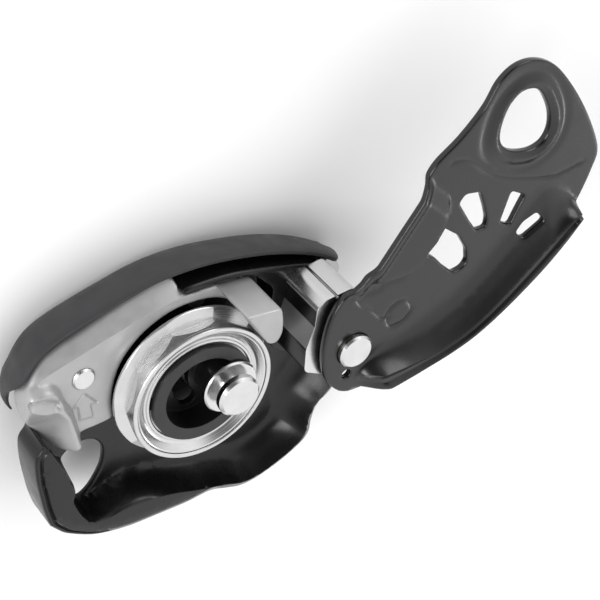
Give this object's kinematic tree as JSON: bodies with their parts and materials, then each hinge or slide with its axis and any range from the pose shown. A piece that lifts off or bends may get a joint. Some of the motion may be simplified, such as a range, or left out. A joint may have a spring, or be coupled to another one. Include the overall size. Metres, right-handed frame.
{
  "type": "belay device",
  "caption": "Assisted-braking rope clutch, open: dished side plate with eye, grooved wheel on a sprung cam, friction plate, swinging plate and folding release handle.",
  "frame": {"origin": "centre of the attachment eye, on the plane the device lies on", "axes": "+X from the eye to the swing pivot, +Y to the handle side, +Z out of the open face along every pivot"},
  "size_m": [0.1635, 0.0846, 0.0392],
  "materials": {
    "black_plate": "satin black coating",
    "gloss_black_plate": "glossy black coating",
    "satin_casting": "satin, blasted",
    "wheel_steel": "turned and polished",
    "turned_steel": "turned",
    "rivet_steel": "satin",
    "spring_steel": "bright wire",
    "lever_steel": "satin",
    "post_metal": "machined",
    "black_cam": "semi-gloss black",
    "bronze": "plain bearing bronze",
    "bush_plastic": "bearing plastic",
    "grip_plastic": "fine moulded texture"
  },
  "bodies": {
    "frame": {"fixed_side_plate": "black_plate", "axle_bush": "bronze", "friction_plate": "satin_casting", "friction_plate_rivets": "rivet_steel", "pivot_post": "post_metal", "post_screws": "rivet_steel", "pivot_rivet": "turned_steel", "pivot_washer": "rivet_steel", "cam_axle": "turned_steel", "axle_retaining_ring": "rivet_steel", "cam_stop_pin": "rivet_steel", "cam_return_spring": "spring_steel"},
    "cam": {"cam_hub": "black_cam", "wheel_bush": "bush_plastic", "wheel_retaining_ring": "spring_steel"},
    "wheel": {"sheave_wheel": "wheel_steel", "sheave_front_ring": "wheel_steel"},
    "side_plate": {"moving_side_plate": "gloss_black_plate", "pivot_bush": "bronze"},
    "lever": {"lever_root": "lever_steel", "lever_hub_cap": "grip_plastic", "lever_drive_pin": "rivet_steel", "lever_return_spring": "spring_steel", "handle_hinge_pin": "rivet_steel"},
    "handle": {"handle_grip": "grip_plastic"}
  },
  "joints": [
    {"name": "side_plate_swing", "type": "hinge", "parent": "frame", "child": "side_plate", "pos_m": [0.0688, 0, 0.033], "axis": [0, 0, 1], "range_deg": [0, 156]},
    {"name": "cam_swing", "type": "hinge", "parent": "frame", "child": "cam", "pos_m": [0.0394, 0.0068, 0.018], "axis": [0, 0, 1], "range_deg": [-12, 0], "stiffness_Nm_per_rad": 0.05, "springref_deg": 22.92},
    {"name": "wheel_spin", "type": "hinge", "parent": "cam", "child": "wheel", "pos_m": [0.033, 0.01, 0.021], "axis": [0, 0, 1], "continuous": true},
    {"name": "lever_pull", "type": "hinge", "parent": "frame", "child": "lever", "pos_m": [0.0394, 0.0068, 0.0045], "axis": [0, 0, 1], "range_deg": [0, 37.5]},
    {"name": "handle_unfold", "type": "hinge", "parent": "lever", "child": "handle", "pos_m": [0.077, -0.003, 0.0045], "axis": [0, 0, 1], "range_deg": [-150, 0]}
  ],
  "couplings": [
    {"joint": "lever_pull", "follows": "handle_unfold", "ratio": -0.25}
  ]
}
